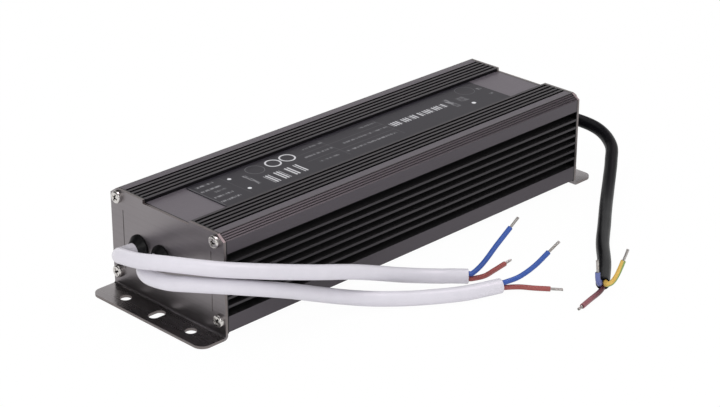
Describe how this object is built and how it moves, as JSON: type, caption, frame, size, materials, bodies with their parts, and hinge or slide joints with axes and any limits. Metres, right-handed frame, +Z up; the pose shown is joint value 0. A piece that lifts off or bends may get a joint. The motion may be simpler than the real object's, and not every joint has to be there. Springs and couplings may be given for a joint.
{
  "type": "waterproof power supply",
  "caption": "Sealed power supply in a finned aluminium extrusion, closed by bent steel end plates with mounting flanges, with mains and output cables leaving through rubber grommets.",
  "frame": {"origin": "middle of the mounting surface under the end flanges, on the symmetry planes of the housing", "axes": "+X along the extrusion towards the mains cable, +Y towards the side away from the loose cables, +Z up out of the mounting surface"},
  "size_m": [0.2767, 0.1542, 0.0455],
  "materials": {
    "anodised_aluminium": "dark satin anodised",
    "plate_steel": "satin plated sheet",
    "black_rubber": "matt",
    "bright_screw": "bright nickel",
    "label_film": "satin film",
    "white_sheath": "soft satin",
    "black_sheath": "soft satin",
    "blue_insulation": "satin",
    "brown_insulation": "satin",
    "earth_insulation": "satin with a green stripe",
    "tinned_copper": "tinned strands",
    "board_laminate": "green laminate",
    "insulating_film": "translucent film",
    "potting_resin": "cast silicone",
    "fuse_glass": "clear tube with metal caps",
    "clip_brass": "spring brass",
    "blue_coating": "dipped coating",
    "dark_coating": "dipped coating",
    "yellow_case": "moulded",
    "ferrite": "sintered",
    "enamelled_wire": "enamelled copper",
    "black_package": "moulded epoxy",
    "white_package": "moulded epoxy",
    "capacitor_sleeve": "shrunk sleeve",
    "bobbin_plastic": "moulded",
    "winding_tape": "polyester tape",
    "bare_aluminium": "sawn bar",
    "thermal_pad": "silicone pad"
  },
  "bodies": {
    "root": {"housing": "anodised_aluminium", "output_end_plate": "plate_steel", "input_end_plate": "plate_steel", "output_gasket": "black_rubber", "input_gasket": "black_rubber", "output_plate_screws": "bright_screw", "input_plate_screws": "bright_screw", "left_output_grommet": "black_rubber", "right_output_grommet": "black_rubber", "input_grommet": "black_rubber", "rating_label": "label_film", "output_cable_upper": "white_sheath", "output_cable_lower": "white_sheath", "input_cable": "black_sheath", "upper_core_blue": "blue_insulation", "upper_core_brown": "brown_insulation", "lower_core_blue": "blue_insulation", "lower_core_brown": "brown_insulation", "input_core_blue": "blue_insulation", "input_core_brown": "brown_insulation", "input_core_earth": "earth_insulation", "upper_strands": "tinned_copper", "lower_strands": "tinned_copper", "input_strands": "tinned_copper", "inner_leads_blue": "blue_insulation", "inner_leads_brown": "brown_insulation", "inner_lead_earth": "earth_insulation", "circuit_board": "board_laminate", "insulating_sheet": "insulating_film", "potting_compound": "potting_resin", "mains_fuse": "fuse_glass", "fuse_clips": "clip_brass", "surge_varistor": "blue_coating", "inrush_thermistor": "dark_coating", "filter_capacitor": "yellow_case", "filter_choke_core": "ferrite", "filter_choke_windings": "enamelled_wire", "suppression_capacitors": "blue_coating", "bridge_rectifier": "black_package", "bulk_capacitors": "capacitor_sleeve", "transformer_core": "ferrite", "transformer_bobbin": "bobbin_plastic", "transformer_windings": "winding_tape", "primary_heat_bar": "bare_aluminium", "primary_insulating_pad": "thermal_pad", "switching_transistors": "black_package", "transistor_screws": "bright_screw", "output_heat_bar": "bare_aluminium", "output_insulating_pad": "thermal_pad", "output_rectifiers": "black_package", "rectifier_screws": "bright_screw", "controller_chip": "black_package", "optocoupler": "white_package", "output_choke_core": "yellow_case", "output_choke_winding": "enamelled_wire", "output_capacitors": "capacitor_sleeve"}
  },
  "joints": []
}
